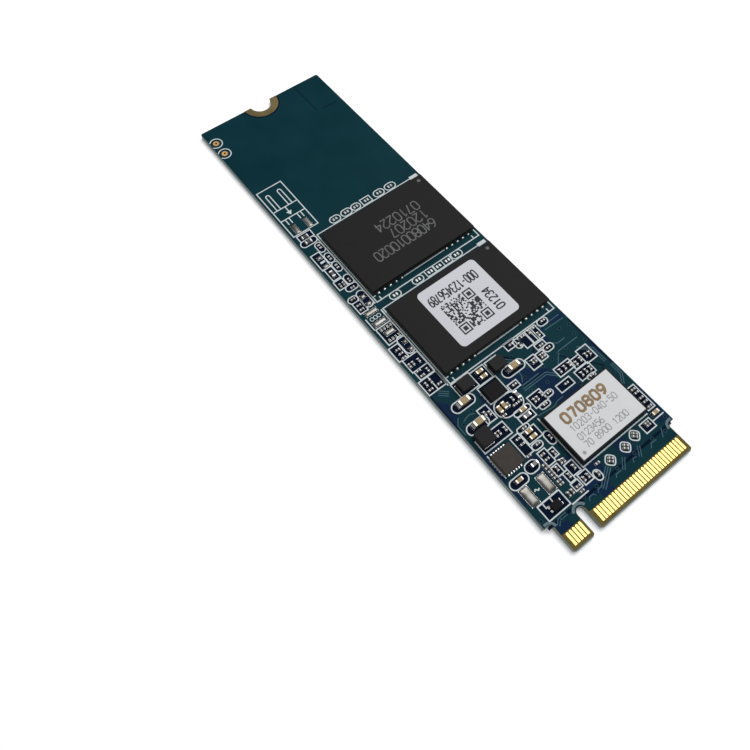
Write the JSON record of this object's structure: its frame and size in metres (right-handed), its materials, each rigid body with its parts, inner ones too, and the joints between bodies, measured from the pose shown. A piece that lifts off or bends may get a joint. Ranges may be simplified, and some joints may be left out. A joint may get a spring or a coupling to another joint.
{
  "type": "solid state drive",
  "caption": "Thin rectangular circuit card with a keyed gold edge connector at one end, flat memory and controller packages on one face, and a half-round mounting notch at the other end.",
  "frame": {"origin": "under the middle of the card, level with the lowest surface, which is the gold of the underside", "axes": "+X across the card, away from the side with the key notch; +Y along the card, from the edge connector to the mounting notch; +Z out of the component side"},
  "size_m": [0.022, 0.08, 0.002],
  "materials": {
    "laminate": "glass-epoxy laminate, satin, glass weave just showing at the cut edges",
    "solder_mask": "dark teal solder mask, semi-gloss, copper relief showing through",
    "contact_gold": "gold plate, smooth and bright",
    "notch_plating": "gold-plated copper, dulled",
    "test_copper": "bare copper pad, satin",
    "land_gold": "gold-plated land, matt",
    "tin": "reflowed tin, bright and uneven",
    "mould": "black moulding compound, fine matt grain",
    "package_laminate": "package substrate, dark green, satin",
    "silicon": "ground silicon",
    "solder": "reflowed solder",
    "label": "printed polyester label, satin silver-grey",
    "spreader": "nickel-plated heat spreader, fine matt white-grey",
    "power_mould": "brown-black moulding compound, matt",
    "small_mould": "black moulding compound, matt",
    "leads": "tin-plated leads",
    "ferrite": "dark grey pressed ferrite, matt",
    "ceramic": "tan capacitor ceramic, smooth",
    "resistor_glaze": "dark glaze over white alumina",
    "chip_body": "brown-grey ceramic, smooth",
    "chip_ends": "tin-plated end caps, bright"
  },
  "bodies": {
    "root": {"printed_board_core": "laminate", "solder_mask_top": "solder_mask", "solder_mask_bottom": "solder_mask", "edge_contacts_top": "contact_gold", "edge_contacts_bottom": "contact_gold", "mounting_notch_plating": "notch_plating", "plated_test_holes": "test_copper", "flash_lands_top": "land_gold", "flash_lands_bottom": "land_gold", "component_lands_top": "tin", "spare_lands_top": "tin", "spare_lands_bottom": "land_gold", "tinned_pads_top": "tin", "flash_1_mould": "mould", "flash_1_substrate": "package_laminate", "flash_1_dies": "silicon", "flash_1_balls": "solder", "flash_2_mould": "mould", "flash_2_substrate": "package_laminate", "flash_2_dies": "silicon", "flash_2_balls": "solder", "product_label": "label", "controller_mould": "mould", "controller_heat_spreader": "spreader", "controller_substrate": "package_laminate", "controller_die": "silicon", "controller_balls": "solder", "power_manager_body": "power_mould", "power_manager_terminals": "leads", "regulator_body": "small_mould", "regulator_terminals": "leads", "supervisor_body": "small_mould", "supervisor_terminals": "leads", "power_inductor_bodies": "ferrite", "power_inductor_terminals": "leads", "moulded_inductor_body": "ferrite", "moulded_inductor_terminals": "leads", "capacitor_0603_bodies": "ceramic", "capacitor_0603_terminals": "chip_ends", "capacitor_0402_bodies": "ceramic", "capacitor_0402_terminals": "chip_ends", "resistor_0402_bodies": "resistor_glaze", "resistor_0402_terminals": "chip_ends", "chip_0201_bodies": "chip_body", "chip_0201_terminals": "chip_ends"}
  },
  "joints": []
}
